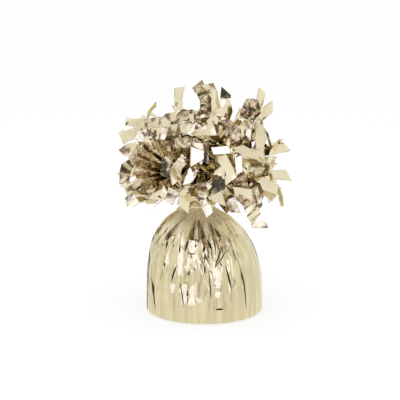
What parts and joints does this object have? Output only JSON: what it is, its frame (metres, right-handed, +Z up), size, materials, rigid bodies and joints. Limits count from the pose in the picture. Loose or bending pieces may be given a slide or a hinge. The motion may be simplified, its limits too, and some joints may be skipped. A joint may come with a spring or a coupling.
{
  "type": "balloon weight",
  "caption": "Table-top balloon weight: a domed cup of cast plaster wrapped in metallised film that is tied at a neck and slit above it into a crinkled fringe.",
  "frame": {"origin": "centre of the flat base, on the surface that the weight stands on", "axes": "+Z up through the neck, -Y towards the viewer of the picture, +X to the viewer's right"},
  "size_m": [0.0937, 0.0859, 0.128],
  "materials": {
    "wrap_foil": "polished",
    "fringe_foil": "polished",
    "cup_plastic": "satin",
    "cast_plaster": "matte",
    "tie_plastic": "gloss"
  },
  "bodies": {
    "root": {"plaster_core": "cast_plaster", "core_cup": "cup_plastic", "foil_wrap": "wrap_foil", "twist_tie": "tie_plastic", "strip_hanging_01": "fringe_foil", "strip_hanging_02": "fringe_foil", "strip_hanging_03": "fringe_foil", "strip_hanging_04": "fringe_foil", "strip_hanging_05": "fringe_foil", "strip_hanging_06": "fringe_foil", "strip_hanging_07": "fringe_foil", "strip_hanging_08": "fringe_foil", "strip_hanging_09": "fringe_foil", "strip_hanging_10": "fringe_foil", "strip_hanging_11": "fringe_foil", "strip_hanging_12": "fringe_foil", "strip_hanging_13": "fringe_foil", "strip_hanging_14": "fringe_foil", "strip_hanging_15": "fringe_foil", "strip_low_01": "fringe_foil", "strip_low_02": "fringe_foil", "strip_low_03": "fringe_foil", "strip_low_04": "fringe_foil", "strip_low_05": "fringe_foil", "strip_low_06": "fringe_foil", "strip_low_07": "fringe_foil", "strip_low_08": "fringe_foil", "strip_low_09": "fringe_foil", "strip_low_10": "fringe_foil", "strip_low_11": "fringe_foil", "strip_low_12": "fringe_foil", "strip_low_13": "fringe_foil", "strip_middle_01": "fringe_foil", "strip_middle_02": "fringe_foil", "strip_middle_03": "fringe_foil", "strip_middle_04": "fringe_foil", "strip_middle_05": "fringe_foil", "strip_middle_06": "fringe_foil", "strip_middle_07": "fringe_foil", "strip_middle_08": "fringe_foil", "strip_middle_09": "fringe_foil", "strip_middle_10": "fringe_foil", "strip_high_01": "fringe_foil", "strip_high_02": "fringe_foil", "strip_high_03": "fringe_foil", "strip_high_04": "fringe_foil", "strip_high_05": "fringe_foil", "strip_high_06": "fringe_foil", "strip_high_07": "fringe_foil", "strip_crown_01": "fringe_foil", "strip_crown_02": "fringe_foil", "strip_crown_03": "fringe_foil", "strip_crown_04": "fringe_foil", "strip_crown_05": "fringe_foil", "strip_top_01": "fringe_foil", "strip_top_02": "fringe_foil", "strip_top_03": "fringe_foil"}
  },
  "joints": []
}
